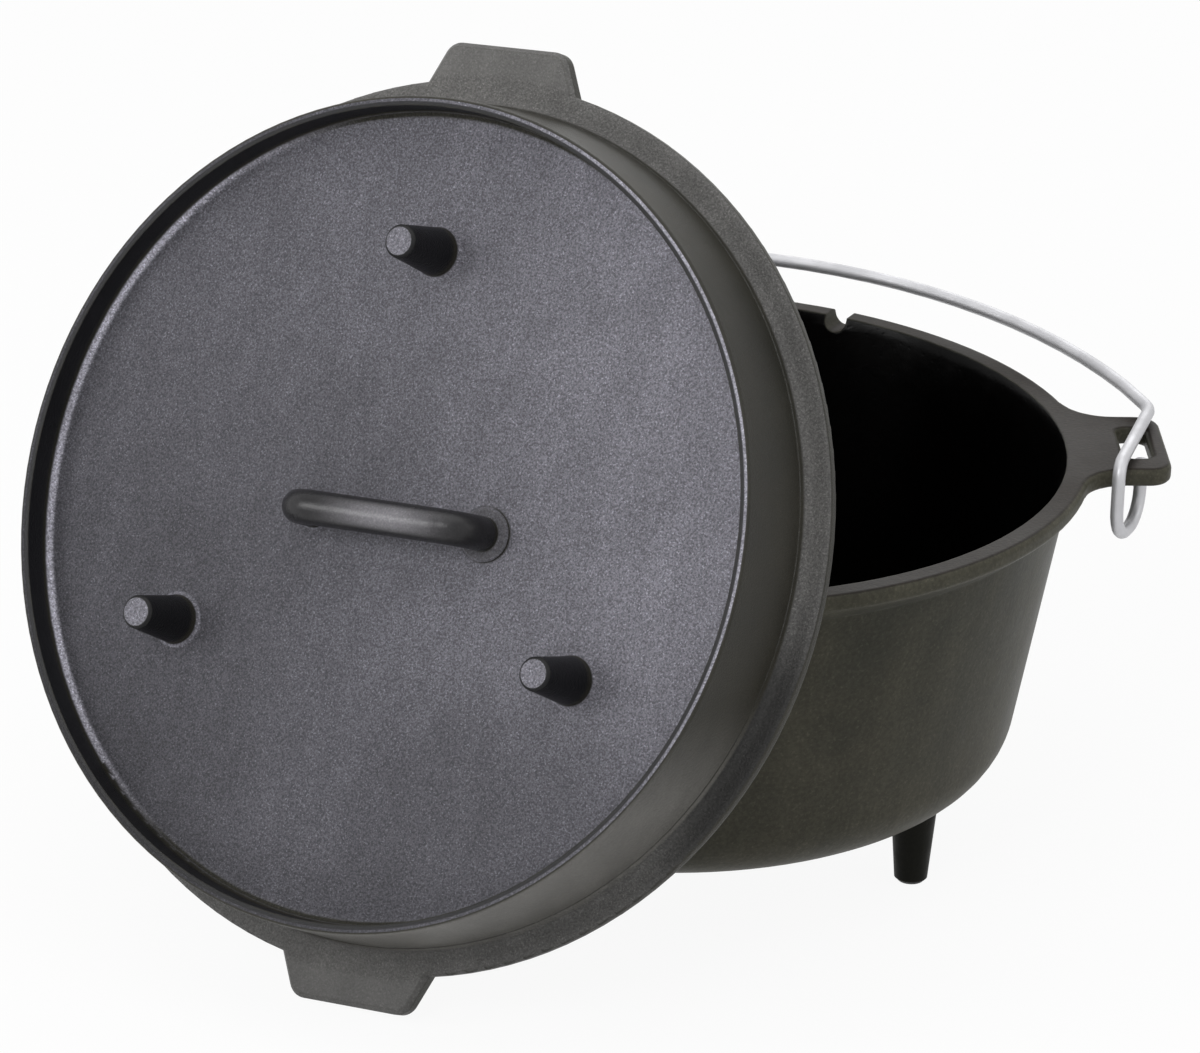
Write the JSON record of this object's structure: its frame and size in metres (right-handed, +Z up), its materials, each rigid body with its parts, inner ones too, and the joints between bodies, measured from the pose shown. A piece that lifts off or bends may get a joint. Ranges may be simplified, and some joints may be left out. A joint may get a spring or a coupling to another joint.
{
  "type": "camp_dutch_oven",
  "caption": "Legged cast-iron camp dutch oven with slotted ears, a wire bail laid back and a flanged coal lid leaning on its rim",
  "frame": {"origin": "On the ground, under the axis of the pot", "axes": "+Z up along the pot's axis, +X through the middle of the right ear, -Y the side the lid leans on"},
  "size_m": [0.4296, 0.3953, 0.323],
  "materials": {
    "pot_iron": "satin",
    "lid_iron": "satin",
    "bail_wire": "satin"
  },
  "bodies": {
    "pot": {"pot": "pot_iron"},
    "lid": {"lid": "lid_iron"},
    "bail": {"bail": "bail_wire"}
  },
  "joints": [
    {"name": "bail_swing", "type": "hinge", "parent": "pot", "child": "bail", "pos_m": [0, -0.0245, 0.1496], "axis": [1, 0, 0], "range_deg": [0, 47]},
    {"name": "lid_lift", "type": "slide", "parent": "pot", "child": "lid", "axis": [0, 0, 1], "range_m": [0, 0.3]}
  ]
}
